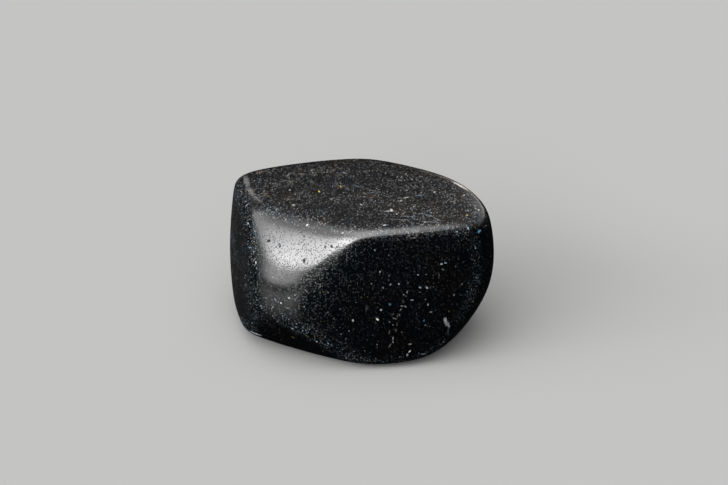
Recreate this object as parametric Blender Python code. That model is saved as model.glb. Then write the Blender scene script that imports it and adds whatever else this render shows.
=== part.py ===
"""A tumbled black onyx: one solid stone, about 27 mm long.

The rough was a blocky lump bounded by broken faces. Tumbling wore it down, so each face is still there as a
slightly crowned plane, and each edge is a soft bend from one face into the next. Small shell-shaped chips are
what the polishing left of deeper damage.

Frame: +Z up, +X along the stone's length, and -Y is the side with the large dark face. The origin is on the
surface that the stone rests on, under the middle of its bounding box.
"""

import math
from typing import NamedTuple

import bmesh
import bpy
import numpy as np
from mathutils import Matrix, Vector, noise

MM = 0.001

# Half the stone's length, depth and height, in millimetres, as it is before its edges are worn
HALF_SIZE = (13.5, 10.4, 7.9)

# The middle that the faces are measured from, above the surface that the stone rests on
MIDDLE = Vector((0.0, 0.0, 7.65))

# Faces of the mesh along each edge of the cube that the stone starts as
GRID = 28

# How many times the mesh is drawn towards the worn edges, and how hard a flat face resists it
GATHER_ROUNDS = 120
FLAT_STIFFNESS = 0.25

# The search for the surface along a ray starts outside the stone, at this distance, and takes this many steps
SEARCH_FROM = 25.0
SEARCH_STEPS = 14

# The foot is worn flat to this depth, so that the stone rests on a real flat face
FOOT_WEAR = 0.12

# Half the height of a chip's cutter, as a multiple of the chip's depth
CUTTER_HEIGHT = 3

# Unevenness that is left on every face: its height, and the distance over which it changes
RIPPLE_HEIGHT = 0.035
RIPPLE_SPAN = 8.0


class Face(NamedTuple):
    """One face of the rough.

    bearing is the compass direction it looks in, 0 to the front (-Y) and 90 to the right (+X), in degrees.
    pitch is how far it leans back to look upwards. reach is its distance from the stone's middle, crown the
    radius of its bulge, and softness how widely its edges are worn, all in millimetres.
    """

    name: str
    bearing: float
    pitch: float
    reach: float
    crown: float
    softness: float


FACES = (
    Face("top", -60, 88, 8.1, 150, 0.3),
    Face("foot", 0, -90, 7.65, 80, 0.4),
    Face("front", 6, 0, 9.3, 80, 0.28),
    Face("shoulder", -33, 30, 10.8, 50, 0.32),
    Face("shoulder belly", -27, -1, 11.5, 40, 0.6),
    Face("shoulder underside", -28, -40, 10.7, 120, 0.4),
    Face("left end", -74, 3, 12.35, 80, 0.45),
    Face("left underside", -80, -45, 17.6, 60, 0.4),
    Face("front right corner", 63, 1, 13.9, 40, 0.6),
    Face("right end", 95, 0, 14.1, 40, 0.6),
    Face("right underside", 64, -42, 11.9, 25, 0.8),
    Face("back right shoulder", 128, 48, 13.0, 30, 0.35),
    Face("back right", 147, 4, 10.5, 60, 0.45),
    Face("back right corner", 118, 4, 12.8, 30, 0.45),
    Face("back right underside", 135, -45, 11.6, 40, 0.6),
    Face("back", -175, 4, 11.55, 60, 0.4),
    Face("back left underside", -160, -42, 12.0, 40, 0.6),
    Face("back left corner", -124, 4, 15.9, 40, 0.5),
)


class Chip(NamedTuple):
    """A shell-shaped chip.

    towards is its direction from the stone's middle. half_width, half_length and depth are in millimetres, and
    turn is how far its length is turned round that direction, in degrees.
    """

    name: str
    towards: tuple
    half_width: float
    half_length: float
    depth: float
    turn: float


CHIPS = (
    Chip("edge_sliver", (-10.4, -4.5, -5.5), 0.35, 0.8, 0.1, 75),
    Chip("front_bruise", (8.3, -8.0, -2.6), 0.3, 0.55, 0.06, 15),
    Chip("back_shell", (4.5, 9.8, 3.0), 0.8, 1.2, 0.12, 60),
)


def looks_towards(face):
    """The outward unit normal of a face."""
    bearing, pitch = math.radians(face.bearing), math.radians(face.pitch)
    level = math.cos(pitch)
    return np.array((math.sin(bearing) * level, -math.cos(bearing) * level, math.sin(pitch)))


def worn(points):
    """How far points lie outside the worn stone, 0 on its surface, and the outward slope there.

    Each face alone would be a sphere of its crown's radius. Together, their exponentials add up to 1 on the
    worn surface, which rounds every edge between two of them.
    """
    centres = np.array([looks_towards(face) * (face.reach - face.crown) for face in FACES])
    crowns = np.array([face.crown for face in FACES])
    softness = np.array([face.softness for face in FACES])
    offsets = points[:, None] - centres
    distances = np.linalg.norm(offsets, axis=2)
    outside = (distances - crowns) / softness
    most = outside.max(axis=1)
    share = np.exp(outside - most[:, None])
    total = share.sum(axis=1)
    slopes = offsets / (distances * softness)[:, :, None]
    return most + np.log(total), (share[:, :, None] * slopes).sum(axis=1) / total[:, None]


def on_surface(rays):
    """The points where unit rays from the middle leave the worn stone, and the outward unit normals there."""
    distance = np.full(len(rays), SEARCH_FROM)
    for _ in range(SEARCH_STEPS):
        height, slope = worn(rays * distance[:, None])
        distance -= height / (slope * rays).sum(axis=1)
    points = rays * distance[:, None]
    slope = worn(points)[1]
    return points, slope / np.linalg.norm(slope, axis=1)[:, None]


def gather_at_edges(rays, pairs):
    """Slides the mesh's points over the stone, so that small faces lie where it bends, large ones where it is flat.

    Each edge of the mesh is a spring, and it is stiffer the more the surface bends along it.
    """
    first, second = pairs[:, 0], pairs[:, 1]
    for _ in range(GATHER_ROUNDS):
        points, normals = on_surface(rays)
        length = np.linalg.norm(points[first] - points[second], axis=1)
        bend = np.linalg.norm(normals[first] - normals[second], axis=1) / length
        stiffness = FLAT_STIFFNESS + bend
        weight = np.bincount(first, stiffness, len(rays)) + np.bincount(second, stiffness, len(rays))
        for axis in range(3):
            pulled = np.bincount(first, stiffness * points[second, axis], len(rays))
            pulled += np.bincount(second, stiffness * points[first, axis], len(rays))
            points[:, axis] = (points[:, axis] + pulled / weight) / 2
        rays = points / np.linalg.norm(points, axis=1)[:, None]
    return rays


def ripple(point):
    """Height of the unevenness at a point of the surface."""
    return RIPPLE_HEIGHT * noise.noise(Vector(point) / RIPPLE_SPAN)


def make_stone(collection):
    bpy.ops.mesh.primitive_cube_add(size=2)
    stone = bpy.context.object
    stone.name = stone.data.name = "onyx_stone"
    move_to(collection, stone)

    shape = bmesh.new()
    shape.from_mesh(stone.data)
    bmesh.ops.subdivide_edges(shape, edges=shape.edges[:], cuts=GRID - 1, use_grid_fill=True)
    shape.verts.index_update()
    spread = np.tan(np.array([vertex.co for vertex in shape.verts]) * math.pi / 4) * HALF_SIZE
    rays = spread / np.linalg.norm(spread, axis=1)[:, None]
    pairs = np.array([[vertex.index for vertex in edge.verts] for edge in shape.edges])
    points, normals = on_surface(gather_at_edges(rays, pairs))
    for vertex, point, normal in zip(shape.verts, points, normals):
        vertex.co = (Vector(point) + Vector(normal) * ripple(point) + MIDDLE) * MM
    wear_foot_flat(shape)
    shape.to_mesh(stone.data)
    shape.free()
    return stone


def wear_foot_flat(shape):
    """Cuts the lowest part of the crowned foot away and closes the cut with one flat face."""
    lowest = min(vertex.co.z for vertex in shape.verts)
    cut = bmesh.ops.bisect_plane(
        shape,
        geom=shape.verts[:] + shape.edges[:] + shape.faces[:],
        plane_co=(0, 0, lowest + FOOT_WEAR * MM),
        plane_no=(0, 0, 1),
        clear_inner=True,
    )
    rim = [item for item in cut["geom_cut"] if isinstance(item, bmesh.types.BMEdge)]
    bmesh.ops.edgeloop_fill(shape, edges=rim)


def cut_chip(stone, chip, collection):
    """Scoops a chip out of the stone with a flattened ball that only just dips into its surface."""
    direction = np.array(chip.towards) / np.linalg.norm(chip.towards)
    points, normals = on_surface(direction[None])
    point, normal = Vector(points[0]), Vector(normals[0])
    # A ball of half height h that dips in by d cuts a patch sqrt(1 - (1 - d / h)^2) times as wide as itself
    half_height = CUTTER_HEIGHT * chip.depth
    wider = 1 / math.sqrt(1 - (1 - chip.depth / half_height) ** 2)
    bpy.ops.mesh.primitive_uv_sphere_add(segments=24, ring_count=12, radius=1)
    ball = bpy.context.object
    ball.name = ball.data.name = f"cutter_{chip.name}"
    move_to(collection, ball)
    centre = (point + normal * (half_height - chip.depth) + MIDDLE) * MM
    facing = normal.to_track_quat("Z", "Y").to_matrix().to_4x4()
    size = Vector((chip.half_width * wider, chip.half_length * wider, half_height)) * MM
    turn = Matrix.Rotation(math.radians(chip.turn), 4, "Z")
    ball.data.transform(Matrix.Translation(centre) @ facing @ turn @ Matrix.Diagonal(size).to_4x4())
    ball.hide_render = True
    ball.display_type = "WIRE"

    cut = stone.modifiers.new(chip.name, "BOOLEAN")
    cut.operation = "DIFFERENCE"
    cut.solver = "EXACT"
    cut.object = ball


def settle(stone, cutters):
    """Moves the stone and its cutters to rest at level 0, with the middle of its box over the origin."""
    points = np.array([vertex.co for vertex in stone.data.vertices])
    low, high = points.min(axis=0), points.max(axis=0)
    centre = (low + high) / 2
    shift = Matrix.Translation((-centre[0], -centre[1], -low[2]))
    stone.data.transform(shift)
    for ball in cutters.objects:
        ball.data.transform(shift)


def move_to(collection, item):
    for old in item.users_collection:
        old.objects.unlink(item)
    collection.objects.link(item)


def polished_black():
    """Black onyx with a tumbled polish."""
    material = bpy.data.materials.new("polished_black_onyx")
    material.use_nodes = True
    shader = material.node_tree.nodes["Principled BSDF"]
    shader.inputs["Base Color"].default_value = (0.008, 0.008, 0.009, 1)
    shader.inputs["Roughness"].default_value = 0.25
    shader.inputs["Metallic"].default_value = 0.0
    shader.inputs["IOR"].default_value = 1.54
    return material


def main():
    for old in list(bpy.data.objects):
        bpy.data.objects.remove(old)
    collection = bpy.data.collections.new("tumbled_onyx")
    cutters = bpy.data.collections.new("chip_cutters")
    cutters.hide_render = True
    for made in (collection, cutters):
        bpy.context.scene.collection.children.link(made)
    stone = make_stone(collection)
    for chip in CHIPS:
        cut_chip(stone, chip, cutters)
    settle(stone, cutters)
    stone.data.shade_smooth()
    stone.data.materials.append(polished_black())


main()
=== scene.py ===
# %% [markdown]
# # A tumbled black onyx
#
# The object is a blocky pebble of black onyx, about 27 mm long, that a tumbler has worn to a soft polish.
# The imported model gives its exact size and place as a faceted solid. This lesson puts a fine, smooth skin
# over that solid, nicks and pits it where the real stone is marked, gives it a polished black finish full
# of fine specks, and lights it as the photograph is lit.

# %% The frame
import math
from typing import NamedTuple

import bpy
import numpy as np
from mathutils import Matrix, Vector


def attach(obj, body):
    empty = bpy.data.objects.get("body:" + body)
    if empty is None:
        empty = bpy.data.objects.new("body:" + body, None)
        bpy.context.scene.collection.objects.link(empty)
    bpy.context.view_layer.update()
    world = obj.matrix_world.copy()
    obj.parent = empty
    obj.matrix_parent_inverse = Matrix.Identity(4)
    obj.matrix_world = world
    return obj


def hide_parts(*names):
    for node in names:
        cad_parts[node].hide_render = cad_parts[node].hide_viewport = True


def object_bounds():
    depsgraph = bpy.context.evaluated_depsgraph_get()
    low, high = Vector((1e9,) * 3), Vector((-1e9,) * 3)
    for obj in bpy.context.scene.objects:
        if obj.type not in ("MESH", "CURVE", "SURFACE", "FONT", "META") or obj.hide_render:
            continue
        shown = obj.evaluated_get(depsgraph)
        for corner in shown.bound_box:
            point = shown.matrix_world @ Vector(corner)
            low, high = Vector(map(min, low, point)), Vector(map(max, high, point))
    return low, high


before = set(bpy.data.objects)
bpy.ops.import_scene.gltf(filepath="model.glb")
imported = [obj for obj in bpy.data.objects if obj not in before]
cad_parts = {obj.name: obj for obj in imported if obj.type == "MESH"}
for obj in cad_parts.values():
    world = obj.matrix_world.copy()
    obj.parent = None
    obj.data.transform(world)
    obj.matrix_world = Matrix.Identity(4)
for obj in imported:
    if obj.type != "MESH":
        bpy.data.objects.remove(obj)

MM = 0.001

cad_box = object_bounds()
cad_size = cad_box[1] - cad_box[0]
print("stone as packed, mm:", [round(side / MM, 2) for side in cad_size])

# %% [markdown]
# ## The camera
#
# The photograph looks down on the stone by about 24 degrees through a long lens, which keeps the far edges
# nearly as large as the near ones. The camera is placed so that the point on the floor under the stone's
# middle lands on the same pixel as in the photograph. Moving the camera sideways does this, so the lens
# needs no shift. Lengths are in millimetres, and the distance is in metres.

# %% The photograph's view
PICTURE_SIZE = (728, 485)
LENS = 100.0
SENSOR = 36.0
LOOKING_DOWN = math.radians(24)
CAMERA_DISTANCE = 0.2109
NEAREST_SEEN = 0.01
REST_POINT_PIXEL = (359.5, 327.1)

towards_camera = Vector((0, -math.cos(LOOKING_DOWN), math.sin(LOOKING_DOWN)))
picture_right = Vector((1, 0, 0))
picture_up = towards_camera.cross(picture_right)
pixels_per_slope = LENS / SENSOR * PICTURE_SIZE[0]


def slope_of(pixel):
    """How far right and up a pixel's ray leans from the middle of the view, per unit of depth."""
    right = (pixel[0] - PICTURE_SIZE[0] / 2) / pixels_per_slope
    up = (PICTURE_SIZE[1] / 2 - pixel[1]) / pixels_per_slope
    return right, up


right, up = slope_of(REST_POINT_PIXEL)
camera_place = (towards_camera - picture_right * right - picture_up * up) * CAMERA_DISTANCE
bpy.ops.object.camera_add(location=camera_place, rotation=(math.radians(90) - LOOKING_DOWN, 0, 0))
camera = bpy.context.object
camera.name = "photo_camera"
camera.data.lens = LENS
camera.data.sensor_width = SENSOR
camera.data.clip_start = NEAREST_SEEN
bpy.context.scene.camera = camera
print("camera, mm:", [round(part / MM, 1) for part in camera_place])

# %% [markdown]
# ## The worn skin
#
# Tumbling leaves no facets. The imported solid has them, because it holds as few triangles as its job allows.
# The skin could be the solid with subdivision on top, but triangles of mixed sizes shade unevenly under a
# bright window. So the skin starts as a cube, which is cut into a fine even grid, blown out to a ball,
# stretched to the stone's proportions and shrunk onto the solid from outside. A little smoothing then wears
# the facets away. The grid is cut in two goes, because one Subdivide makes at most 100 cuts.

# %% A fine grid around the stone
FIRST_CUTS = 51
SECOND_CUTS = 1
ROOM_AROUND = 1.5

middle = (cad_box[0] + cad_box[1]) / 2


def edit_all(change):
    """Runs one operator on everything in the active mesh."""
    bpy.ops.object.mode_set(mode="EDIT")
    bpy.ops.mesh.select_all(action="SELECT")
    change()
    bpy.ops.object.mode_set(mode="OBJECT")


bpy.ops.object.select_all(action="DESELECT")
bpy.ops.mesh.primitive_cube_add(size=2, location=(0, 0, 0))
skin = bpy.context.object
skin.name = skin.data.name = "onyx_skin"
edit_all(lambda: bpy.ops.mesh.subdivide(number_cuts=FIRST_CUTS))
edit_all(lambda: bpy.ops.mesh.subdivide(number_cuts=SECOND_CUTS))
print("grid faces:", len(skin.data.polygons))

# %% Blown out and stretched
def finish_with(kind, **settings):
    """Adds one modifier to the skin and applies it."""
    added = skin.modifiers.new(kind.title(), kind)
    for name, value in settings.items():
        setattr(added, name, value)
    bpy.ops.object.modifier_apply(modifier=added.name)


finish_with("CAST", cast_type="SPHERE", factor=1.0)
ball_radius = skin.data.vertices[0].co.length
skin.scale = [side / 2 * ROOM_AROUND / ball_radius for side in cad_size]
skin.location = middle
bpy.ops.object.transform_apply(location=True, rotation=True, scale=True)
print("ball before it is stretched, radius:", round(ball_radius, 3))

# %% Shrunk onto the stone
HALF_WAY = 0.5
FIRST_ROUNDS = 30
WEAR_ROUNDS = 9

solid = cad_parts["onyx_stone"]
finish_with(
    "SHRINKWRAP",
    target=solid,
    wrap_method="PROJECT",
    use_negative_direction=True,
    use_positive_direction=False,
)
finish_with("SMOOTH", factor=HALF_WAY, iterations=FIRST_ROUNDS)
finish_with("SHRINKWRAP", target=solid, wrap_method="NEAREST_SURFACEPOINT")
finish_with("SMOOTH", factor=HALF_WAY, iterations=WEAR_ROUNDS)
bpy.ops.object.shade_smooth()
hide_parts("onyx_stone")
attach(skin, "root")
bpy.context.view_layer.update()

# %% [markdown]
# ## Worn edges
#
# A tumbler batters the edges of a stone far more than its faces, so they keep a dense band of bruised
# specks. The finish needs to know where they are. They could be marked by hand, but the shape tells it by
# itself: the skin's points are blurred with their neighbours, over about a millimetre, and where the stone
# stands proud of its own blurred shape, it has an edge. The answer is kept on the mesh.

# %% How far each point stands proud
BLUR_ROUNDS = 60
SHARES_SHOWN = (5, 50, 75, 90, 97, 100)


def point_places(mesh):
    """All the mesh's points, as one array in metres."""
    flat = np.empty(len(mesh.vertices) * 3)
    mesh.vertices.foreach_get("co", flat)
    return flat.reshape(-1, 3)


def blurred(points, first, second):
    """The points, each moved towards the average of its neighbours, round after round."""
    neighbours = np.bincount(first, minlength=len(points)) + np.bincount(second, minlength=len(points))
    points = points.copy()
    for _ in range(BLUR_ROUNDS):
        for axis in range(3):
            around = np.bincount(first, points[second, axis], len(points))
            around += np.bincount(second, points[first, axis], len(points))
            points[:, axis] = (points[:, axis] + around / neighbours) / 2
    return points


ends = np.empty(len(skin.data.edges) * 2, dtype=int)
skin.data.edges.foreach_get("vertices", ends)
first, second = ends.reshape(-1, 2).T
normals = np.empty(len(skin.data.vertices) * 3)
skin.data.vertices.foreach_get("normal", normals)
points = point_places(skin.data)
proud = ((points - blurred(points, first, second)) * normals.reshape(-1, 3)).sum(axis=1) / MM
skin.data.attributes.new("edge_wear", "FLOAT", "POINT").data.foreach_set("value", proud)
print("stands proud, mm:", np.percentile(proud, SHARES_SHOWN).round(3))

# %% [markdown]
# ## Marks
#
# Each flaw that can be made out in the photograph, and each painted highlight, is placed by the pixels
# that it lies between. A ray from the camera through a pixel meets the skin at one point, so a mark lies on
# the stone whichever side it is seen from. Some are only colour: powder caught in the surface, or a tinted
# patch. Some are painted light: pale highlights along the rims of the top, and a blue fringe beside the
# shoulder's highlight. Pits and chips also have a depth. The marks could be painted on an image, but that
# would blur close up. As values on the points of a fine grid they stay sharp, and a pit is really sunk.

# %% Colours and pits
WHITE = (0.90, 0.93, 0.97)
CREAM = (1.0, 0.94, 0.80)
BONE = (0.95, 0.90, 0.85)
YELLOW = (1.0, 0.78, 0.15)
BLUE = (0.20, 0.62, 0.95)
TEAL = (0.10, 0.80, 0.80)
ICE = (0.62, 0.82, 0.95)
ORANGE_BROWN = (0.70, 0.38, 0.20)
SAND = (0.90, 0.74, 0.54)
SAGE = (0.55, 0.68, 0.56)
EARTH = (0.45, 0.30, 0.16)
BLACK = (0.0, 0.0, 0.0)


class Mark(NamedTuple):
    """A flaw, or a patch of painted light, that lies between two pixels of the photograph.

    half_width and depth are in millimetres, and strength is how much of the stone's own colour it covers.
    """

    name: str
    start: tuple
    end: tuple
    half_width: float
    colour: tuple
    strength: float
    depth: float = 0.0


PITS_AND_CHIPS = (
    Mark("deepest pit", (304, 260), (304, 262), 0.11, BLACK, 1.0, 0.12),
    Mark("pit with a bright wall", (268, 241), (269, 241), 0.12, BLACK, 1.0, 0.10),
    Mark("blue pit", (279, 244), (280, 246), 0.10, BLUE, 0.04, 0.09),
    Mark("small pit, high", (301, 232), (301, 232), 0.09, BLACK, 1.0, 0.08),
    Mark("small pit, below it", (304, 236), (304, 236), 0.08, BLACK, 1.0, 0.08),
    Mark("small pit, left", (265, 252), (265, 252), 0.08, BLACK, 1.0, 0.07),
    Mark("pit near the crease", (331, 246), (332, 247), 0.08, BLACK, 1.0, 0.08),
    Mark("its neighbour", (325, 247), (325, 247), 0.08, BLACK, 1.0, 0.07),
    Mark("shallow pit", (337, 247), (337, 247), 0.08, BLACK, 0.8, 0.06),
    Mark("sliver on the lower edge", (250, 331), (260, 335), 0.14, WHITE, 0.30),
    Mark("bruise on the front, left half", (445, 318), (446, 324), 0.17, WHITE, 0.11, 0.03),
    Mark("bruise on the front, right half", (447, 322), (449, 327), 0.16, WHITE, 0.07, 0.03),
    Mark("tail of the bruise", (448, 329), (448, 335), 0.08, ICE, 0.02),
)
print("sunk into the stone:", ", ".join(mark.name for mark in PITS_AND_CHIPS if mark.depth))

# %% Orange-brown patch, painted highlight on the left rim, and scuffs on the top
SCUFFS_ON_TOP = (
    Mark("rust stain", (258, 173), (264, 171), 0.22, ORANGE_BROWN, 0.085),
    # The next three marks are painted highlights: a pale band where the bend between the top and the left end
    # catches the window.
    Mark("pale rim at the left, high", (245, 176), (248, 187), 0.32, BONE, 0.060),
    Mark("pale rim at the left, middle", (248, 187), (254, 196), 0.32, BONE, 0.055),
    Mark("pale rim at the left, low", (254, 196), (261, 202), 0.30, BONE, 0.035),
    Mark("scuff in the middle of the top", (385, 211), (394, 211), 0.10, WHITE, 0.22),
    Mark("tip of that scuff", (391, 209), (392, 211), 0.12, WHITE, 0.24),
    Mark("dot in front of it", (397, 214), (397, 214), 0.10, WHITE, 0.26),
    Mark("scuff behind it", (400, 201), (402, 201), 0.10, WHITE, 0.20),
    Mark("cream scuff behind it", (404, 198), (409, 197), 0.10, CREAM, 0.16),
    Mark("blue scuff", (415, 196), (423, 195), 0.10, ICE, 0.07),
    Mark("dash beside it", (412, 205), (416, 205), 0.07, WHITE, 0.09),
    Mark("scratch to the front edge, far half", (427, 215), (434, 217), 0.12, WHITE, 0.05),
    Mark("scratch to the front edge, near half", (433, 217), (441, 221), 0.14, WHITE, 0.045),
    Mark("scratch beside it", (418, 213), (430, 215), 0.11, ICE, 0.045),
    Mark("long scratch under the scuff", (398, 216), (420, 217), 0.11, ICE, 0.040),
    Mark("long scratch, nearer", (386, 219), (412, 220), 0.11, WHITE, 0.035),
    Mark("long scratch, nearest", (420, 221), (440, 223), 0.11, WHITE, 0.040),
    Mark("teal fleck", (413, 215), (415, 216), 0.10, ICE, 0.08),
    Mark("fleck by the front edge", (425, 222), (425, 222), 0.11, WHITE, 0.22),
    Mark("green streak", (286, 181), (295, 181), 0.10, SAGE, 0.070),
    Mark("green patch", (309, 180), (315, 184), 0.20, SAGE, 0.034),
    Mark("pale streak at the back", (298, 174), (305, 174), 0.14, CREAM, 0.062),
    Mark("streak beside it", (287, 176), (291, 173), 0.12, WHITE, 0.052),
    Mark("curl at the back", (311, 171), (313, 169), 0.14, WHITE, 0.054),
    Mark("dash at the back", (342, 172), (347, 174), 0.11, WHITE, 0.062),
    Mark("blue smudge", (354, 185), (359, 187), 0.16, ICE, 0.050),
    Mark("brown patch", (366, 194), (380, 197), 0.45, EARTH, 0.010),
    Mark("small brown patch", (385, 204), (391, 205), 0.25, EARTH, 0.010),
    Mark("brown patch, left", (288, 196), (300, 192), 0.50, EARTH, 0.006),
    Mark("brown patch, right", (457, 193), (463, 197), 0.35, EARTH, 0.008),
)
print("scuffs, streaks and patches on the top:", len(SCUFFS_ON_TOP))

# %% Dots on the top, and the painted highlight along its right rim
DOTS_ON_TOP = (
    Mark("dot, far left", (259, 180), (260, 180), 0.08, CREAM, 0.08),
    Mark("dot on the left", (290, 190), (290, 190), 0.11, WHITE, 0.28),
    Mark("dot below it", (293, 205), (294, 205), 0.10, CREAM, 0.34),
    Mark("small dot above it", (287, 200), (288, 200), 0.07, CREAM, 0.10),
    Mark("yellow dot, left", (268, 196), (268, 196), 0.09, YELLOW, 0.16),
    Mark("curl beside it", (268, 201), (273, 200), 0.07, ICE, 0.06),
    Mark("yellow dot", (319, 191), (319, 192), 0.10, YELLOW, 0.26),
    Mark("yellow dot, right", (340, 186), (341, 187), 0.09, YELLOW, 0.24),
    Mark("green dot", (327, 172), (327, 172), 0.11, SAGE, 0.22),
    Mark("dot in the middle", (360, 204), (362, 205), 0.09, CREAM, 0.18),
    Mark("dot beside it", (331, 199), (332, 199), 0.09, WHITE, 0.16),
    Mark("small dot left of it", (319, 201), (319, 201), 0.08, WHITE, 0.14),
    Mark("dim dot in the middle", (343, 192), (344, 193), 0.08, WHITE, 0.07),
    Mark("dot over the shoulder", (307, 225), (307, 225), 0.11, WHITE, 0.26),
    Mark("cyan dot", (332, 227), (332, 227), 0.09, TEAL, 0.12),
    Mark("dot at the crease", (355, 226), (355, 227), 0.08, WHITE, 0.12),
    Mark("dot above the crease", (342, 233), (343, 233), 0.08, WHITE, 0.16),
    Mark("cluster near the front edge", (384, 225), (385, 225), 0.11, WHITE, 0.26),
    Mark("its neighbour near the front edge", (382, 224), (382, 224), 0.07, WHITE, 0.10),
    Mark("dot right of the middle", (434, 192), (435, 192), 0.09, CREAM, 0.30),
    Mark("cream dot at the right", (464, 195), (464, 195), 0.10, CREAM, 0.36),
    Mark("cream blotch", (467, 194), (469, 196), 0.09, SAGE, 0.09),
    # The next five marks are painted highlights: a warm line where the rim at the back right catches the
    # light behind the right end.
    Mark("pale rim at the right, far", (416, 169), (436, 175), 0.20, SAND, 0.04),
    Mark("pale rim at the right, less far", (436, 175), (454, 181), 0.22, SAND, 0.08),
    Mark("pale rim at the right, high", (454, 182), (469, 191), 0.30, CREAM, 0.36),
    Mark("pale rim at the right, middle", (470, 191), (480, 203), 0.20, SAND, 0.09),
    Mark("pale rim at the right, low", (480, 203), (484, 216), 0.18, SAND, 0.06),
    Mark("dot by the right rim", (478, 210), (479, 210), 0.10, WHITE, 0.26),
    Mark("pink dot beside it", (475, 208), (476, 209), 0.10, CREAM, 0.10),
    Mark("yellow dot by the right rim", (467, 215), (467, 215), 0.10, YELLOW, 0.24),
    Mark("cream dot below it", (467, 218), (467, 218), 0.09, CREAM, 0.08),
    Mark("cyan dot at the corner", (468, 228), (468, 228), 0.13, ICE, 0.14),
    Mark("blue dot at the corner", (478, 232), (480, 231), 0.14, BLUE, 0.26),
)
print("dots on the top and along its right rim:", len(DOTS_ON_TOP))

# %% Dots and dashes on the front
DOTS_ON_FRONT = (
    Mark("bright dash", (377, 319), (378, 320), 0.09, CREAM, 0.30),
    Mark("dash at the foot, bright end", (409, 352), (410, 351), 0.09, CREAM, 0.22),
    Mark("dash at the foot, tail", (407, 356), (408, 354), 0.07, WHITE, 0.12),
    Mark("dash right of it", (421, 354), (425, 354), 0.07, ICE, 0.10),
    Mark("squiggle above it", (409, 344), (411, 344), 0.08, CREAM, 0.08),
    Mark("blue dash", (367, 305), (366, 312), 0.08, ICE, 0.018),
    Mark("blue dot on the front", (390, 304), (390, 305), 0.08, BLUE, 0.12),
    Mark("small blue dot on the front", (424, 320), (424, 321), 0.07, BLUE, 0.10),
    Mark("white dot on the front", (381, 310), (381, 310), 0.09, WHITE, 0.18),
    Mark("pale dot on the front", (427, 288), (427, 288), 0.09, WHITE, 0.20),
    Mark("its neighbour on the front", (419, 287), (421, 288), 0.07, ICE, 0.12),
    Mark("teal dash on the front", (411, 300), (413, 300), 0.07, ICE, 0.14),
    Mark("green dot on the front", (428, 304), (428, 305), 0.09, SAGE, 0.12),
    Mark("dash right of it on the front", (430, 312), (432, 312), 0.06, CREAM, 0.10),
    Mark("cream dot at the right of the front", (454, 294), (454, 296), 0.07, CREAM, 0.06),
    Mark("dash above the crack", (391, 284), (390, 285), 0.07, WHITE, 0.10),
    Mark("dot above the crack", (399, 284), (399, 284), 0.09, WHITE, 0.14),
    Mark("dot left of the crack", (383, 287), (383, 288), 0.08, WHITE, 0.07),
    Mark("streak high on the front", (441, 264), (442, 264), 0.08, WHITE, 0.14),
    Mark("dot beside that streak", (445, 263), (446, 263), 0.08, ICE, 0.12),
    Mark("pair below it", (442, 269), (444, 270), 0.06, WHITE, 0.06),
    Mark("pink scratch", (439, 273), (439, 278), 0.06, CREAM, 0.02),
    Mark("dot high on the front", (418, 275), (418, 275), 0.08, WHITE, 0.12),
    Mark("dot in the middle of the front", (380, 272), (380, 272), 0.09, WHITE, 0.16),
    Mark("dot near the crease on the front", (375, 250), (375, 250), 0.08, ICE, 0.16),
    Mark("dot at the left of the front", (353, 320), (353, 321), 0.09, WHITE, 0.14),
    Mark("dot above it", (349, 331), (349, 331), 0.07, ICE, 0.10),
    Mark("dot beside it on the front", (341, 334), (341, 334), 0.07, WHITE, 0.10),
    Mark("orange dash low on the left", (291, 336), (294, 338), 0.06, YELLOW, 0.10),
)
print("dots and dashes on the front:", len(DOTS_ON_FRONT))

# %% Marks on the belly and towards the ends
MARKS_ON_ENDS = (
    Mark("dot on the belly", (289, 298), (289, 298), 0.10, CREAM, 0.20),
    Mark("bluish patch on the belly", (275, 299), (276, 301), 0.09, ICE, 0.06),
    Mark("speck below that patch", (278, 302), (278, 302), 0.08, ICE, 0.08),
    Mark("speck left of it", (272, 300), (272, 300), 0.07, ICE, 0.07),
    Mark("dot left of it", (281, 303), (281, 303), 0.09, WHITE, 0.20),
    Mark("small dot on the belly", (295, 295), (295, 295), 0.07, WHITE, 0.10),
    Mark("blue dot on the belly", (287, 308), (287, 308), 0.08, ICE, 0.10),
    Mark("yellow dot on the belly", (299, 306), (299, 306), 0.07, YELLOW, 0.08),
    Mark("dot low on the belly", (273, 316), (273, 316), 0.08, ICE, 0.12),
    Mark("dot in the left band", (256, 262), (256, 263), 0.08, WHITE, 0.24),
    Mark("dot high in the left band", (248, 223), (248, 224), 0.09, ICE, 0.24),
    Mark("dot low in the left band", (257, 300), (257, 300), 0.07, ICE, 0.16),
    Mark("dot beside it in the band", (261, 306), (261, 306), 0.08, WHITE, 0.14),
    Mark("cluster at the top of the band", (246, 206), (248, 204), 0.10, ICE, 0.10),
    # The next mark is a painted blue fringe along the left side of the shoulder's highlight.
    Mark("blue line beside the shoulder", (253, 221), (257, 241), 0.12, BLUE, 0.025),
    Mark("teal smudge at the right", (476, 275), (480, 284), 0.20, BLUE, 0.012),
)
print("marks on the belly and towards the ends:", len(MARKS_ON_ENDS))

# %% [markdown]
# A healed crack runs down the front. It shows as dashes of powder, with a small open loop halfway down.
# Each dash has a start, an end and a strength.

# %% The healed crack
CRACK_DASHES = (
    ((407, 291), (407, 293), 0.10),
    ((403, 294), (404, 295), 0.08),
    ((406, 296), (406, 296), 0.07),
    ((403, 299), (403, 303), 0.02),
    ((401, 306), (403, 306), 0.09),
    ((405, 306), (406, 307), 0.11),
    ((401, 309), (400, 311), 0.06),
    ((394, 312), (392, 316), 0.025),
    ((393, 318), (396, 319), 0.05),
    ((397, 318), (398, 314), 0.025),
    ((399, 314), (400, 316), 0.05),
    ((393, 325), (393, 325), 0.10),
    ((397, 323), (397, 326), 0.025),
    ((396, 329), (396, 332), 0.04),
    ((390, 330), (389, 334), 0.03),
    ((393, 337), (393, 340), 0.10),
    ((393, 342), (393, 342), 0.20),
    ((391, 344), (389, 347), 0.05),
)
CRACK_HALF_WIDTH = 0.06

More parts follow.
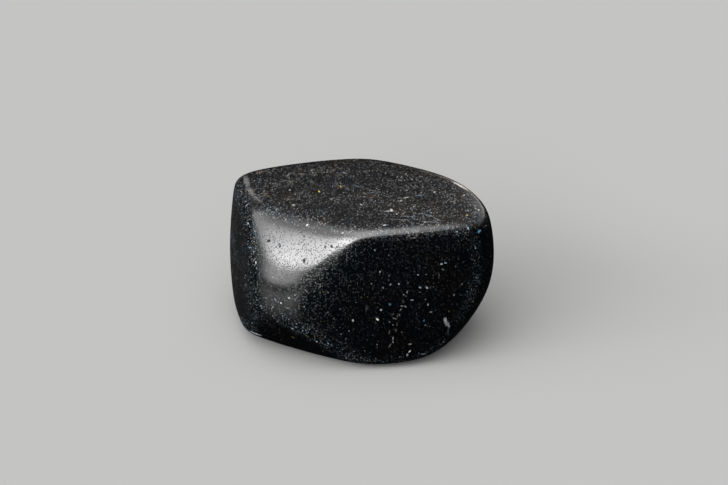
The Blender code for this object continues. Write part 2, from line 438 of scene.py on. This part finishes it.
crack = []
for start, end, strength in CRACK_DASHES:
    crack.append(Mark("crack", start, end, CRACK_HALF_WIDTH, BONE, strength))
marks = [*PITS_AND_CHIPS, *SCUFFS_ON_TOP, *DOTS_ON_TOP, *DOTS_ON_FRONT, *MARKS_ON_ENDS, *crack]
print("marks:", len(marks))

# %% [markdown]
# Each mark is now laid on the skin, by a ray through each of its two pixels. A ray that missed the stone
# would mean a mistake in the lists above, so it stops the script.

# %% From a pixel to the skin
class Spot(NamedTuple):
    """A mark laid on the skin. Its start and end are in metres, its half_width and depth in millimetres."""

    start: Vector
    end: Vector
    normal: Vector
    half_width: float
    colour: tuple
    strength: float
    depth: float


def under_pixel(pixel):
    """The point of the skin that a pixel of the photograph shows, and the outward normal there."""
    right, up = slope_of(pixel)
    sight = picture_right * right + picture_up * up - towards_camera
    found, point, normal, _ = skin.ray_cast(camera_place, sight.normalized())
    if not found:
        raise ValueError(f"no stone under pixel {pixel}")
    return point, normal


def laid_on_skin(mark):
    """The spot on the skin that a mark covers."""
    start, start_normal = under_pixel(mark.start)
    end, end_normal = under_pixel(mark.end)
    normal = (start_normal + end_normal).normalized()
    return Spot(start, end, normal, mark.half_width, mark.colour, mark.strength, mark.depth)


bpy.context.view_layer.update()
spots = [laid_on_skin(mark) for mark in marks]
print("longest mark, mm:", round(max((spot.end - spot.start).length for spot in spots) / MM, 1))

# %% [markdown]
# ## Hidden sides
#
# The photograph does not show the back, the far side of the right end or the underside. A stone is marked
# alike all round, so those sides get pits and dots of the same sizes, spread evenly along a spiral round
# the stone. The shell-shaped chip on the back is a little paler than the polish around it.

# %% Marks that are made up
SPIRAL_MARKS = 44
GOLDEN_ANGLE = math.radians(137.5)
PIT_EVERY = 2
SMALLEST_DOT = 0.07
DOT_SIZES = 3
SMALLEST_PIT = 0.08
PIT_SIZES = 4
SIZE_STEP = 0.02
DOT_STRENGTH = 0.14
PIT_DEPTH = 0.08
SHELL_TOWARDS = (4.75, 8.8, 2.9)
SHELL_HALF_WIDTH = 0.75
SHELL_STRENGTH = 0.012

stone_middle = Vector(middle)


def from_outside(direction):
    """The point of the skin in a direction from the stone's middle, and the outward normal there."""
    outside = stone_middle + Vector(direction).normalized() * max(cad_size)
    _, point, normal, _ = skin.ray_cast(outside, stone_middle - outside)
    return point, normal


for step in range(SPIRAL_MARKS):
    rise = 1 - 2 * (step + 0.5) / SPIRAL_MARKS
    round_it = math.sqrt(1 - rise * rise)
    turn = step * GOLDEN_ANGLE
    point, normal = from_outside((math.cos(turn) * round_it, math.sin(turn) * round_it, rise))
    seen = normal.dot(camera_place - point) > 0
    if seen:
        continue
    if step % PIT_EVERY:
        half_width = SMALLEST_DOT + SIZE_STEP * (step % DOT_SIZES)
        spots.append(Spot(point, point, normal, half_width, WHITE, DOT_STRENGTH, 0.0))
    else:
        half_width = SMALLEST_PIT + SIZE_STEP * (step % PIT_SIZES)
        spots.append(Spot(point, point, normal, half_width, BLACK, 1.0, PIT_DEPTH))
shell, shell_normal = from_outside(SHELL_TOWARDS)
spots.append(Spot(shell, shell, shell_normal, SHELL_HALF_WIDTH, WHITE, SHELL_STRENGTH, 0.0))
print("marks and made-up marks:", len(spots))

# %% [markdown]
# ## Marks kept on the mesh
#
# The finish reads the marks from the mesh, so the grid is cut finer around each one first. It is cut in
# steps, and once more around the pits, so that no large face meets a very small one. Each mark is a
# flattened ball around its place. How far a point lies from its middle is told in the ball's own measure: 0
# there, and 1 at its rim.

# %% A mark's own measure
BALL_THICKNESS = 0.4
TOO_SHORT = MM / 100


def own_measure(spot, points):
    """How far points are from a mark's middle, in its own measure."""
    along = spot.end - spot.start
    half_length = along.length / 2 / MM + spot.half_width
    ahead = along - spot.normal * along.dot(spot.normal)
    if ahead.length < TOO_SHORT:
        ahead = spot.normal.orthogonal()
    ahead.normalize()
    across = spot.normal.cross(ahead)
    from_middle = (points - np.array((spot.start + spot.end) / 2)) / MM
    squares = (from_middle @ np.array(ahead) / half_length) ** 2
    squares += (from_middle @ np.array(across) / spot.half_width) ** 2
    squares += (from_middle @ np.array(spot.normal) / BALL_THICKNESS) ** 2
    return np.sqrt(squares)


print("widest mark, half its width in mm:", max(spot.half_width for spot in spots))

# %% A finer grid around the marks
FINE_UNDER = 0.2
MARK_REACH = (0.16, 0.07)
PIT_REACH = 0.16


def cut_finer(chosen, reach):
    """Cuts every face near the chosen marks in four."""
    centres = np.empty(len(skin.data.polygons) * 3)
    skin.data.polygons.foreach_get("center", centres)
    centres = centres.reshape(-1, 3)
    near = np.zeros(len(centres), dtype=bool)
    for spot in chosen:
        near |= (own_measure(spot, centres) - 1) * spot.half_width < reach
    skin.data.polygons.foreach_set("select", near)
    bpy.ops.object.mode_set(mode="EDIT")
    bpy.ops.mesh.subdivide(number_cuts=1, smoothness=1.0)
    bpy.ops.mesh.select_all(action="DESELECT")
    bpy.ops.object.mode_set(mode="OBJECT")


small = [spot for spot in spots if spot.half_width < FINE_UNDER or spot.depth]
sunk = [spot for spot in spots if spot.depth]
bpy.ops.object.mode_set(mode="EDIT")
bpy.ops.mesh.select_mode(type="FACE")
bpy.ops.mesh.select_all(action="DESELECT")
bpy.ops.object.mode_set(mode="OBJECT")
for reach in MARK_REACH:
    cut_finer(small, reach)
cut_finer(sunk, PIT_REACH)
print("faces with the finer grid:", len(skin.data.polygons))

# %% [markdown]
# Three values go on each point: how near it is to a mark, the mark's colour, and how much the mark covers.
# Pits are sunk by one Displace modifier, with a vertex group that holds how deep each point goes.

# %% Marks as values on the points
FAR_OFF = 3.0
BOWL = 1.25

points = point_places(skin.data)
nearness = np.full(len(points), FAR_OFF)
colours = np.zeros((len(points), 4))
sinking = np.zeros(len(points))
deepest = max(spot.depth for spot in sunk)
for spot in spots:
    measure = own_measure(spot, points)
    nearer = measure < nearness
    nearness[nearer] = measure[nearer]
    colours[nearer] = (*spot.colour, spot.strength)
    bowl = np.clip(1 - (measure / BOWL) ** 2, 0, 1) ** 2
    sinking = np.maximum(sinking, bowl * spot.depth / deepest)
skin.data.attributes.new("mark_distance", "FLOAT", "POINT").data.foreach_set("value", nearness)
skin.data.attributes.new("mark_colour", "FLOAT_COLOR", "POINT").data.foreach_set("color", colours.ravel())
print("points inside a mark:", int((nearness < 1).sum()))

# %% Pits are sunk
pits = skin.vertex_groups.new(name="pits")
for index in np.flatnonzero(sinking):
    pits.add([int(index)], float(sinking[index]), "REPLACE")
finish_with("DISPLACE", strength=-deepest * MM, mid_level=0.0, direction="NORMAL", vertex_group="pits")
skin.data.calc_loop_triangles()
print("pits:", len(sunk), "triangles:", len(skin.data.loop_triangles))

# %% [markdown]
# ## A helper for node trees
#
# The finish and the light are both patterns worked out by nodes. A small helper adds a node, sets it and
# joins its inputs in one call, so that each pattern below reads as a formula. Its fade is used most: it
# takes a value, where the change starts, where it ends, and what there is before and after, if not 0 and 1.
# A named range below holds those numbers in that order.

# %% Nodes as formulas
class Pattern:
    """Adds nodes to one tree. An input may be a plain value or another node's output."""

    def __init__(self, tree):
        self.tree = tree

    def node(self, kind, inputs=(), **settings):
        made = self.tree.nodes.new(kind)
        for name, value in settings.items():
            setattr(made, name, value)
        for place, value in dict(inputs).items():
            self.join(value, made.inputs[place])
        return made

    def join(self, value, socket):
        if isinstance(value, bpy.types.NodeSocket):
            self.tree.links.new(value, socket)
        else:
            socket.default_value = value

    def math(self, operation, first, second=0.0):
        return self.node("ShaderNodeMath", {0: first, 1: second}, operation=operation).outputs[0]

    def times(self, *values):
        """The product of all the values."""
        product = values[0]
        for value in values[1:]:
            product = self.math("MULTIPLY", product, value)
        return product

    def total(self, *values):
        """The sum of all the values."""
        amount = values[0]
        for value in values[1:]:
            amount = self.math("ADD", amount, value)
        return amount

    def fade(self, value, start, end, low=0.0, high=1.0):
        """Goes smoothly from low at start to high at end."""
        inputs = {"Value": value, "From Min": start, "From Max": end, "To Min": low, "To Max": high}
        return self.node("ShaderNodeMapRange", inputs, interpolation_type="SMOOTHSTEP").outputs["Result"]

    def scaled(self, vector, factor):
        inputs = {0: vector, "Scale": factor}
        return self.node("ShaderNodeVectorMath", inputs, operation="SCALE").outputs[0]

    def blend(self, share, first, second):
        """Mixes two colours: the first where share is 0, the second where it is 1."""
        inputs = {0: share, 6: first, 7: second}
        return self.node("ShaderNodeMix", inputs, data_type="RGBA").outputs[2]


# %% [markdown]
# ## The finish
#
# Onyx is chalcedony: quartz too fine to see, which takes a glassy polish and is black right through. What
# keeps it from looking like black plastic is all in its top few hundredths of a millimetre. Pinpricks that
# the polish did not reach hold pale powder, and show as specks from 0.1 mm down. Fine pitting breaks the
# shine up into grains. The finish could be wrapped round the stone as an image, but that would stretch and
# show a seam. Formulas on the stone's own coordinates are equally sharp all round.

# %% Polished black
ONYX_IOR = 1.54

polish = bpy.data.materials.new("polished_black_onyx")
polish.use_nodes = True
skin.data.materials.clear()
skin.data.materials.append(polish)
finish = Pattern(polish.node_tree)
shader = polish.node_tree.nodes["Principled BSDF"]
shader.inputs["IOR"].default_value = ONYX_IOR
place = finish.node("ShaderNodeTexCoord").outputs["Object"]
in_mm = finish.scaled(place, 1 / MM)
across, _, height = finish.node("ShaderNodeSeparateXYZ", {0: in_mm}).outputs
print("materials on the skin:", [material.name for material in skin.data.materials])

# %% Clouds and cells
def stretched(lengths):
    """The place in mm, on which a pattern comes out longer along each axis by the length given for it."""
    squeeze = [1 / length for length in lengths]
    return finish.node("ShaderNodeVectorMath", {0: in_mm, 1: squeeze}, operation="MULTIPLY").outputs[0]


def noise(size, detail=0.0, lengths=(1, 1, 1)):
    """Cloudy noise from 0 to 1, whose clouds are about size mm across."""
    inputs = {"Vector": stretched(lengths), "Scale": 1 / size, "Detail": detail}
    return finish.node("ShaderNodeTexNoise", inputs).outputs["Fac"]


def cells(spacing, places=in_mm):
    """Cells spacing mm apart: how far a point is from its cell's middle, and the cell's random numbers."""
    pattern = finish.node("ShaderNodeTexVoronoi", {"Vector": places, "Scale": 1 / spacing})
    chances = finish.node("ShaderNodeSeparateColor", {0: pattern.outputs["Color"]}).outputs
    return pattern.outputs["Distance"], chances


# %% [markdown]
# The finish differs from place to place, so it starts with a map of the stone, in millimetres. The battered
# edges are those that stand proud, most of all near the two ends and low on the left, and less just under
# the top. Everywhere, powder comes and goes in patches.

# %% The top and the battered edges
PATCH_SIZE = 3.0
TOP_STARTS = (14.6, 15.25)
LESS_UNDER_TOP = (12.5, 14.5, 1.0, 0.3)
PROUD_ENOUGH = (0.03, 0.12)
EDGE_PATCHES = (0.3, 0.6, 0.4, 1.0)
NEAR_THE_ENDS = (6.0, 9.0, 0.15, 1.0)
LOW_DOWN = (3.5, 7.0, 1.0, 0.0)
TOWARDS_THE_LEFT = (-3.0, 1.0, 1.0, 0.25)

patches = noise(PATCH_SIZE, detail=2.0)
on_top = finish.fade(height, *TOP_STARTS)
under_top = finish.fade(height, *LESS_UNDER_TOP)
wear = finish.node("ShaderNodeAttribute", attribute_name="edge_wear").outputs["Fac"]
near_ends = finish.fade(finish.math("ABSOLUTE", across), *NEAR_THE_ENDS)
low_left = finish.times(finish.fade(height, *LOW_DOWN), finish.fade(across, *TOWARDS_THE_LEFT))
outermost = finish.math("MAXIMUM", near_ends, low_left)
proud_edge = finish.times(finish.fade(wear, *PROUD_ENOUGH), finish.fade(patches, *EDGE_PATCHES))
battered = finish.times(proud_edge, under_top, outermost)
print("the top starts at, mm:", TOP_STARTS)

# %% [markdown]
# Two more bands are battered though they are hardly proud. One runs down between the shoulder and the left
# end. The other slants down to the right, along the lower edge of the belly. At the right end all of it is
# weaker.

# %% Two bands on the left
LEFT_BAND_RIGHT_SIDE = (-9.4, -10.5)
LEFT_BAND_LEFT_SIDE = (-12.4, -11.4)
LEFT_BAND_FOOT = (2.5, 5.5)
LEFT_BAND_PATCHES = (0.3, 0.6, 0.18, 0.45)
BELLY_BAND_SLOPE = 0.6
BELLY_BAND_HEIGHT = 1.1
BELLY_BAND_WIDTH = (0.5, 1.3, 1.0, 0.0)
BELLY_BAND_END = (-4.5, -6.5)
BELLY_BAND_PATCHES = (0.3, 0.6, 0.15, 0.40)
LESS_AT_THE_RIGHT = (4.0, 8.0, 1.0, 0.65)

left_band = finish.times(
    finish.fade(across, *LEFT_BAND_RIGHT_SIDE),
    finish.fade(across, *LEFT_BAND_LEFT_SIDE),
    finish.fade(height, *LEFT_BAND_FOOT),
    under_top,
    finish.fade(patches, *LEFT_BAND_PATCHES),
)
above_belly_band = finish.total(height, finish.times(across, BELLY_BAND_SLOPE), -BELLY_BAND_HEIGHT)
belly_band = finish.times(
    finish.fade(finish.math("ABSOLUTE", above_belly_band), *BELLY_BAND_WIDTH),
    finish.fade(across, *BELLY_BAND_END),
    finish.fade(patches, *BELLY_BAND_PATCHES),
)
weaker_right = finish.fade(across, *LESS_AT_THE_RIGHT)
on_edge = finish.times(finish.math("MAXIMUM", battered, left_band), weaker_right)
on_edge = finish.math("MAXIMUM", on_edge, belly_band)
print("the belly band falls, mm for each mm to the right:", BELLY_BAND_SLOPE)

# %% [markdown]
# The body is black, a little warmer or cooler in clouds, with a hint of brown in places on the top.

# %% The black body
BODY_CLOUDS = 5.0
BODY_CLOUD_EDGES = (0.4, 0.65)
COOL_BLACK = (0.0003, 0.0005, 0.0009, 1)
WARM_BLACK = (0.0005, 0.0005, 0.0006, 1)
TOP_CLOUDS = 2.4
TOP_CLOUD_LENGTHS = (2, 1, 1)
TOP_CLOUD_EDGES = (0.46, 0.70)
TOP_BROWN = (0.0036, 0.0026, 0.0016, 1)

warmth = finish.fade(noise(BODY_CLOUDS, detail=3.0), *BODY_CLOUD_EDGES)
brownness = finish.fade(noise(TOP_CLOUDS, detail=3.0, lengths=TOP_CLOUD_LENGTHS), *TOP_CLOUD_EDGES)
body = finish.blend(warmth, COOL_BLACK, WARM_BLACK)
body = finish.blend(finish.times(on_top, brownness), body, TOP_BROWN)
print("body, from cool to warm:", COOL_BLACK[:3], WARM_BLACK[:3])

# %% [markdown]
# Powder lies in the surface as grains, each thickest in its middle. One grain is cooler, the next warmer,
# and in the battered edges all are blue. It is thick on the top, on the brink just below it, and at the very
# end on the left. The right half of the top was scuffed lengthwise, so there the powder lies in rows.

# %% Grains of powder
GRAIN_SPACING = 0.15
GRAIN_LENGTHS = (1, 2, 1)
GRAIN_CHANCE = (0.45, 1.0)
GRAIN_SHAPE = (0.15, 0.60, 1.7, 0.3)
COOL_POWDER = (0.074, 0.083, 0.093, 1)
WARM_POWDER = (0.097, 0.085, 0.071, 1)
EDGE_POWDER = (0.022, 0.065, 0.100, 1)

grain_distance, grain_chances = cells(GRAIN_SPACING, stretched(GRAIN_LENGTHS))
grain_shape = finish.fade(grain_distance, *GRAIN_SHAPE)
powder = finish.times(finish.fade(grain_chances[0], *GRAIN_CHANCE), grain_shape)
powder_colour = finish.blend(grain_chances[1], COOL_POWDER, WARM_POWDER)
powder_colour = finish.blend(on_edge, powder_colour, EDGE_POWDER)
print("grains of powder, mm apart:", GRAIN_SPACING)

# %% How much powder
BRINK_STARTS = (14.0, 14.6)
BRINK_ENDS = (14.9, 15.3, 1.0, 0.0)
BRINK_THINS_OUT = (6.0, 8.5, 1.0, 0.3)
DUST_EVERYWHERE = 0.01
DUST_ON_TOP = 0.46
DUST_ON_BRINK = 0.38
DUST_ON_EDGES = 0.28
DUST_AT_LEFT_END = (-12.0, -13.0, 0.0, 0.45)
DUST_IN_PATCHES = (0.38, 0.62, 0.65, 1.3)
ROW_WIDTH = 0.5
ROW_LENGTHS = (7, 1, 1)
ROW_DUST = (0.40, 0.62, -0.25, 0.9)
ROWS_START = (-2.0, 4.0)

brink = finish.times(
    finish.fade(height, *BRINK_STARTS),
    finish.fade(height, *BRINK_ENDS),
    finish.fade(across, *BRINK_THINS_OUT),
)
dust = finish.total(
    DUST_EVERYWHERE,
    finish.times(on_top, DUST_ON_TOP),
    finish.times(brink, DUST_ON_BRINK),
    finish.times(on_edge, DUST_ON_EDGES),
    finish.fade(across, *DUST_AT_LEFT_END),
)
rows = finish.fade(noise(ROW_WIDTH, detail=1.0, lengths=ROW_LENGTHS), *ROW_DUST)
scuffed = finish.times(rows, finish.fade(across, *ROWS_START))
amount = finish.times(dust, finish.fade(patches, *DUST_IN_PATCHES), finish.total(1.0, scuffed))
body = finish.blend(finish.times(powder, amount), body, powder_colour)
print("dust on the top, the brink and the edges:", DUST_ON_TOP, DUST_ON_BRINK, DUST_ON_EDGES)

# %% Fine streaks along the top
STREAK_WIDTH = 0.25
STREAK_LENGTHS = (12, 1, 1)
STREAK_EDGES = (0.56, 0.75)
STREAK_PATCHES = (0.48, 0.62)
STREAK_STRENGTH = 0.4
STREAK_GREY = (0.030, 0.031, 0.032, 1)

lines = finish.fade(noise(STREAK_WIDTH, detail=1.0, lengths=STREAK_LENGTHS), *STREAK_EDGES)
streaks = finish.times(on_top, lines, finish.fade(patches, *STREAK_PATCHES))
body = finish.blend(finish.times(streaks, STREAK_STRENGTH), body, STREAK_GREY)
print("streaks, mm wide and long:", STREAK_WIDTH, STREAK_WIDTH * STREAK_LENGTHS[0])

# %% [markdown]
# Specks come in four sizes, and few are bright. Each sits in a cell of a Voronoi pattern, which also deals
# out its brightness and its colour: white for most, blue for some, and yellow for one in twenty or so. One
# size is found in the battered edges alone. The others are found everywhere, but most in those edges, on
# the top and at the right end.

# %% Specks
SPECK_CORE = 0.5
SPECK_RIM = 1.1
BLUE_CHANCE = (0.60, 0.75)
YELLOW_CHANCE = (0.95, 0.96)
WHITE_SPECK = (0.95, 0.97, 1.0, 1)
BLUE_SPECK = (0.45, 0.72, 1.0, 1)
YELLOW_SPECK = (1.0, 0.80, 0.30, 1)


def specks(spacing, radius, rarity):
    """Scattered dots of random brightness, and the random number that each one's colour comes from."""
    distance, chances = cells(spacing)
    dot = finish.fade(distance, radius / spacing * SPECK_CORE, radius / spacing * SPECK_RIM, 1.0, 0.0)
    brightness = finish.math("POWER", chances[0], rarity)
    return finish.times(dot, brightness), chances[1]


def speck_colour(chance):
    """White for a low number, blue for a higher one and yellow for the very highest."""
    cool = finish.blend(finish.fade(chance, *BLUE_CHANCE), WHITE_SPECK, BLUE_SPECK)
    return finish.blend(finish.fade(chance, *YELLOW_CHANCE), cool, YELLOW_SPECK)


# %% Four sizes of specks
SPECKS_EVERYWHERE = 0.36
SPECKS_ON_TOP = 0.9
SPECKS_ON_EDGES = 4.0
SPECKS_AT_RIGHT_END = (9.5, 12.0, 0.0, 0.6)

busy = finish.total(
    SPECKS_EVERYWHERE,
    finish.times(on_top, SPECKS_ON_TOP),
    finish.times(on_edge, SPECKS_ON_EDGES),
    finish.fade(across, *SPECKS_AT_RIGHT_END),
)

# Spacing and radius in mm, how rare the bright ones are, how strong they are, and where they are found
SPECK_SIZES = (
    (0.21, 0.075, 2.0, 0.25, on_edge),
    (0.17, 0.055, 5.0, 0.055, busy),
    (0.27, 0.068, 4.0, 0.095, busy),
    (0.60, 0.085, 4.0, 0.28, busy),
)
for spacing, radius, rarity, strength, where in SPECK_SIZES:
    speck, chance = specks(spacing, radius, rarity)
    body = finish.blend(finish.times(speck, strength, where), body, speck_colour(chance))
print("sizes of specks:", len(SPECK_SIZES))

# %% [markdown]
# A mark covers its ground from its middle out to its rim. Noise moves the rim in and out, and leaves the
# mark crumbly, since powder never fills a scuff evenly. The pits are the strongest marks, and their walls
# are left open and dull.

# %% Marks in the finish
CRUMB_SIZE = 0.16
RIM_MOVES = (0.3, 0.7, -0.35, 0.35)
RIM_FADES = (0.6, 1.15, 1.4, 0.0)
CRUMBS_COVER = (0.3, 0.55, 0.4, 1.0)
OPEN_ABOVE = (0.4, 0.6)

mark_colour = finish.node("ShaderNodeAttribute", attribute_name="mark_colour")
mark_strength = mark_colour.outputs["Alpha"]
distance = finish.node("ShaderNodeAttribute", attribute_name="mark_distance").outputs["Fac"]
crumbs = noise(CRUMB_SIZE, detail=1.0)
ragged = finish.total(distance, finish.fade(crumbs, *RIM_MOVES))
cover = finish.times(finish.fade(ragged, *RIM_FADES), finish.fade(crumbs, *CRUMBS_COVER))
opened = finish.times(cover, finish.fade(mark_strength, *OPEN_ABOVE))
# The marks' colours go into the base colour here, the painted rim highlights and the painted blue fringe
# among them.
body = finish.blend(finish.times(cover, mark_strength), body, mark_colour.outputs["Color"])
finish.join(body, shader.inputs["Base Color"])
print("crumbs in the marks, mm:", CRUMB_SIZE)

# %% [markdown]
# The polish is glassy but not perfect. Fine unevenness and pinpricks break up every reflection into grains,
# which is what makes the bright shoulder look sprinkled. The pinpricks are deeper on the left, where the
# shoulder is, than on the front. The polish is rougher where the edges are battered and inside the pits.

# %% The polish
PEEL_SIZE = 0.12
PEEL_HEIGHT = 0.08
PRICK_SPACING = 0.17
PRICK_CHANCE = (0.0, 0.6)
PRICK_SHAPE = (0.08, 0.40, 1.0, 0.0)
PRICK_DEPTHS = (-4.0, 1.0, -0.60, -0.37)
RELIEF_UNIT = 0.00004

orange_peel = noise(PEEL_SIZE)
prick_distance, prick_chances = cells(PRICK_SPACING)
prick = finish.times(finish.fade(prick_chances[0], *PRICK_CHANCE), finish.fade(prick_distance, *PRICK_SHAPE))
depth = finish.fade(across, *PRICK_DEPTHS)
relief = finish.total(finish.times(orange_peel, PEEL_HEIGHT), finish.times(prick, depth))
dents = finish.node("ShaderNodeBump", {"Strength": 1.0, "Distance": RELIEF_UNIT, "Height": relief})
finish.join(dents.outputs["Normal"], shader.inputs["Normal"])
print("deepest prick, mm:", -PRICK_DEPTHS[2] * RELIEF_UNIT / MM)

# %% How rough it is
POLISH_ROUGHNESS = 0.10
EDGE_ROUGHNESS = 0.08
PIT_ROUGHNESS = 0.4

roughness = finish.total(
    POLISH_ROUGHNESS, finish.times(on_edge, EDGE_ROUGHNESS), finish.times(opened, PIT_ROUGHNESS)
)
finish.join(roughness, shader.inputs["Roughness"])
print("nodes in the finish:", len(polish.node_tree.nodes))

# %% [markdown]
# ## Floor and light
#
# A plain pale floor catches the stone's soft shadow. It is kept out of the reflections, so that the lower
# faces stay as black as they are in the photograph.

# %% A pale floor
FLOOR_SIZE = 3.0
FLOOR_COLOUR = (0.2, 0.2, 0.198, 1)
FLOOR_ROUGHNESS = 0.9
FLOOR_GLOSS = 0.1

bpy.ops.object.select_all(action="DESELECT")
bpy.ops.mesh.primitive_plane_add(size=FLOOR_SIZE)
floor = bpy.context.object
floor.name = "pale_floor"
floor.visible_glossy = False
paint = bpy.data.materials.new("pale_floor")
paint.use_nodes = True
matt = paint.node_tree.nodes["Principled BSDF"]
matt.inputs["Base Color"].default_value = FLOOR_COLOUR
matt.inputs["Roughness"].default_value = FLOOR_ROUGHNESS
matt.inputs["Specular IOR Level"].default_value = FLOOR_GLOSS
floor.data.materials.append(paint)
print("floor, m:", FLOOR_SIZE)

# %% [markdown]
# A polished black stone has hardly any colour of its own: what is seen is what it reflects. Lamps could be
# moved about until the shoulder shines, but each would show its own hard outline. So the light is a tent
# all round the stone, whose brightness is a formula of the direction: its bearing, 0 in front of the stone
# and 90 at its right, and its elevation above level, both in degrees.
#
# The parts of the tent are named by what they do. The window, between its sill and its lintel, is the
# bright patch on the shoulder. The overhead light brings out the powder on the top and lines the crease
# between the top and the front, and it ends at the sill too. The skirt makes the grey lower half of the
# shoulder, and the glow the dim patch under it, with a darker line left between the two. The horizon is a
# dim light on the left and in front, from about level upwards. The wall is a still dimmer one behind the
# left end, and the rim light stands behind the right end. The room is a faint light that grows upwards.

# %% Directions
world = bpy.data.worlds.new("light_tent")
bpy.context.scene.world = world
world.use_nodes = True
tent = Pattern(world.node_tree)
facing = tent.node("ShaderNodeSeparateXYZ", {0: tent.node("ShaderNodeTexCoord").outputs["Generated"]})
east, north, above = facing.outputs
degree = math.radians(1)
elevation = tent.math("DIVIDE", tent.math("ARCSINE", above), degree)
bearing = tent.math("DIVIDE", tent.math("ARCTAN2", east, tent.math("MULTIPLY", north, -1.0)), degree)

# %% Window and overhead light
SILL_STEPS = ((-118, -96, 31, 13.5), (-76, -60, 0, 3.5), (-38, -12, 0, -10), (18, 34, 0, 18))
SILL_SOFTNESS = (-72, -50, 5.5, 4)
LINTEL_STEPS = ((-112, -86, 33, 20.5), (-80, -58, 0, 8), (-44, -14, 0, -14))
LINTEL_FADES = (-1.0, 14.5)
WINDOW_STEPS = ((-118, -106, 0, 2.5), (-91, -70.5, 0, 10.0), (-55, -40, 0, 4))
WINDOW_ENDS = (-22, -4, 1.0, 0.0)
OVERHEAD_LIGHT = 6.0
OVERHEAD_TO_THE_BACK = (-0.5, 0.74, 1.0, 0.0)
OVERHEAD_TO_THE_LEFT = (-0.75, -0.10, 0.43, 0.96)
OVERHEAD_TO_THE_RIGHT = (0.0, 0.6, 1.0, 0.08)


def stepped(steps):
    """A value that goes up or down in soft steps along the bearing."""
    return tent.total(*[tent.fade(bearing, *step) for step in steps])


sill = stepped(SILL_STEPS)
over_sill = tent.fade(elevation, sill, tent.total(sill, tent.fade(bearing, *SILL_SOFTNESS)))
lintel = stepped(LINTEL_STEPS)
lintel_fades = [tent.total(lintel, further) for further in LINTEL_FADES]
under_lintel = tent.fade(elevation, *lintel_fades, 1.0, 0.0)
window = tent.times(stepped(WINDOW_STEPS), tent.fade(bearing, *WINDOW_ENDS), over_sill, under_lintel)
overhead = tent.times(
    OVERHEAD_LIGHT,
    tent.fade(north, *OVERHEAD_TO_THE_BACK),
    tent.fade(east, *OVERHEAD_TO_THE_LEFT),
    tent.fade(east, *OVERHEAD_TO_THE_RIGHT),
    over_sill,
)
print("the window grows in steps of:", [step[3] for step in WINDOW_STEPS])

# %% Softer panels
SKIRT_FOOT = (-74, -58, 2.0, 4.5)
SKIRT_SOFTNESS = 6.0
NO_TOP = (90, 91)
NO_LEFT_SIDE = (-181, -180)
ROOM_LIGHT = (0, 80, 0.004, 0.42)


def panel(light, foot, top, left, right):
    """A panel of light with soft sides: the elevations and bearings over which it comes up and goes out."""
    return tent.times(
        light,
        tent.fade(elevation, *foot),
        tent.fade(elevation, *top, 1.0, 0.0),
        tent.fade(bearing, *left),
        tent.fade(bearing, *right, 1.0, 0.0),
    )


skirt_foot = tent.fade(bearing, *SKIRT_FOOT)
skirt_rise = (skirt_foot, tent.total(skirt_foot, SKIRT_SOFTNESS))
skirt = panel(light=4.8, foot=skirt_rise, top=(17, 24), left=(-86.5, -73), right=(-72, -50))
glow = panel(light=1.08, foot=(-48, -8), top=(-5, 0), left=(-98, -70), right=(-48, -20))
horizon = panel(light=0.5, foot=(-6, 4), top=NO_TOP, left=(-108, -86), right=(-30, 35))
rim_light = panel(light=0.6, foot=(-5, 5), top=(20, 35), left=(105, 135), right=(160, 178))
wall = panel(light=0.038, foot=(-40, -10), top=(2, 12), left=NO_LEFT_SIDE, right=(-115, -100))
room = tent.fade(elevation, *ROOM_LIGHT)
panels = (skirt, glow, horizon, rim_light, wall, room)
print("softer panels:", len(panels))

# %% [markdown]
# The camera itself sees a flat pale backdrop, so that the tent shows on the stone and nowhere else.

# %% The tent as one light
BACKDROP = 0.60

straight = tent.node("ShaderNodeLightPath").outputs["Is Camera Ray"]
reflected = tent.times(tent.total(overhead, window, *panels), tent.math("SUBTRACT", 1.0, straight))
brightness = tent.total(reflected, tent.times(straight, BACKDROP))
backdrop = world.node_tree.nodes["Background"]
backdrop.inputs["Color"].default_value = (1.0, 1.0, 1.0, 1)
tent.join(brightness, backdrop.inputs["Strength"])
bpy.context.scene.view_settings.view_transform = "Standard"
print("nodes in the tent:", len(world.node_tree.nodes))
